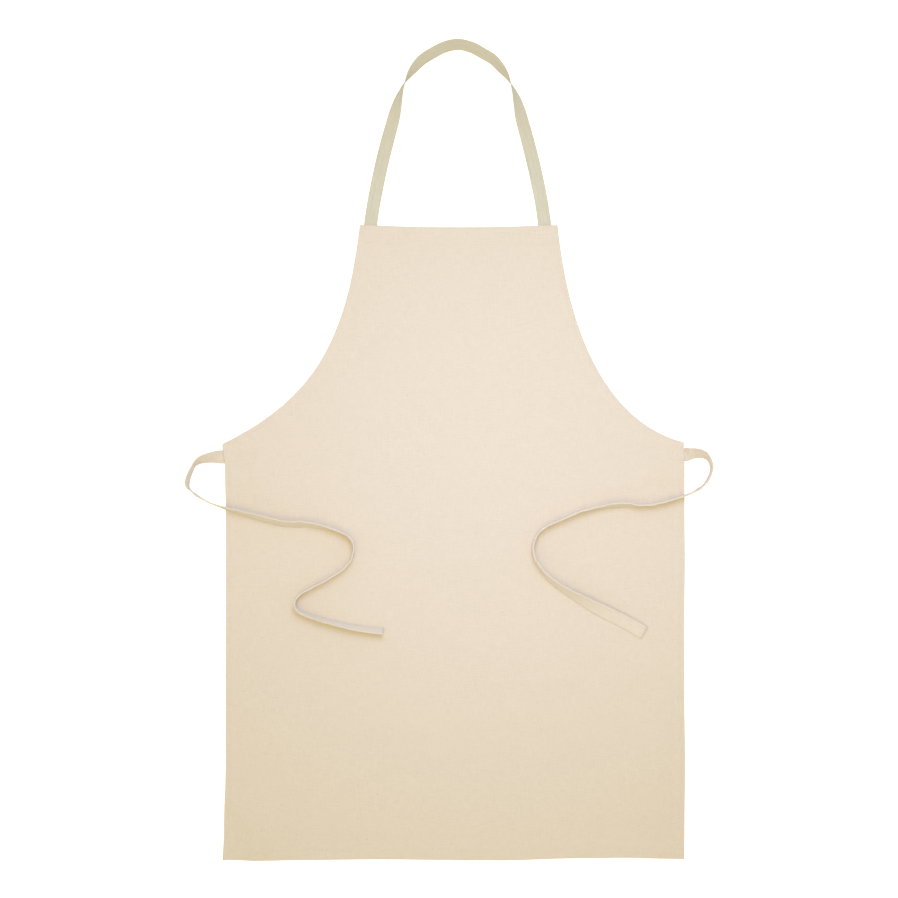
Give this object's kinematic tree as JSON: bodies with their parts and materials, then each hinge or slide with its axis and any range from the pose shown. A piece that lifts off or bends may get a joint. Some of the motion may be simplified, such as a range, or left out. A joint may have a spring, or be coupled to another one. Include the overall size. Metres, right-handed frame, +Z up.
{
  "type": "cotton apron",
  "caption": "Plain natural cotton bib apron lying flat, with hemmed edges, curved armholes, a neck loop of woven olive tape and loose self-cloth waist ties.",
  "frame": {"origin": "on the surface that the apron lies on, at the middle of the box round the panel and the neck loop, ties left out", "axes": "+X to the right of the apron seen from the front, +Y from the bottom hem to the neck loop, +Z up out of the face of the cloth"},
  "size_m": [0.7452, 1.1616, 0.0214],
  "materials": {
    "natural_cotton": "matte plain weave, unbleached, with small dark seed flecks",
    "tie_cotton": "matte plain weave, folded and edge stitched",
    "olive_tape": "matte woven tape with lengthwise ribs"
  },
  "bodies": {
    "root": {"body_panel": "natural_cotton", "neck_strap": "olive_tape", "waist_tie_left": "tie_cotton", "waist_tie_right": "tie_cotton"}
  },
  "joints": []
}
